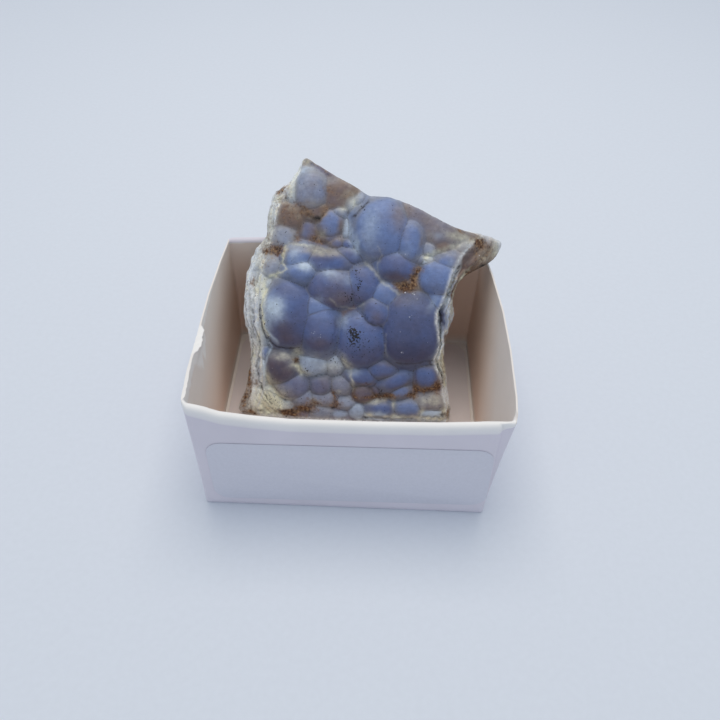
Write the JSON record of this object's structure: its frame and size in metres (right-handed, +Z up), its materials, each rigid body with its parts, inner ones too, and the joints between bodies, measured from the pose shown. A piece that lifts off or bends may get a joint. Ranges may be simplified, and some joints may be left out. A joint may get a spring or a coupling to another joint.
{
  "type": "chalcedony specimen in a card tray",
  "caption": "Broken slab of blue botryoidal chalcedony that leans on the back rim of a small folded card tray with a bare paper label.",
  "frame": {"origin": "middle of the tray's flat underside", "axes": "+Z up, -Y out of the tray's labelled front wall, +X to the right of someone who faces that wall"},
  "size_m": [0.0537, 0.0512, 0.0429],
  "materials": {
    "chalcedony": "natural waxy botryoidal crust over rough pale layers",
    "card": "matt white lined card",
    "label_paper": "smooth uncoated label paper"
  },
  "bodies": {
    "root": {"chalcedony": "chalcedony", "card_tray": "card", "label": "label_paper"}
  },
  "joints": []
}
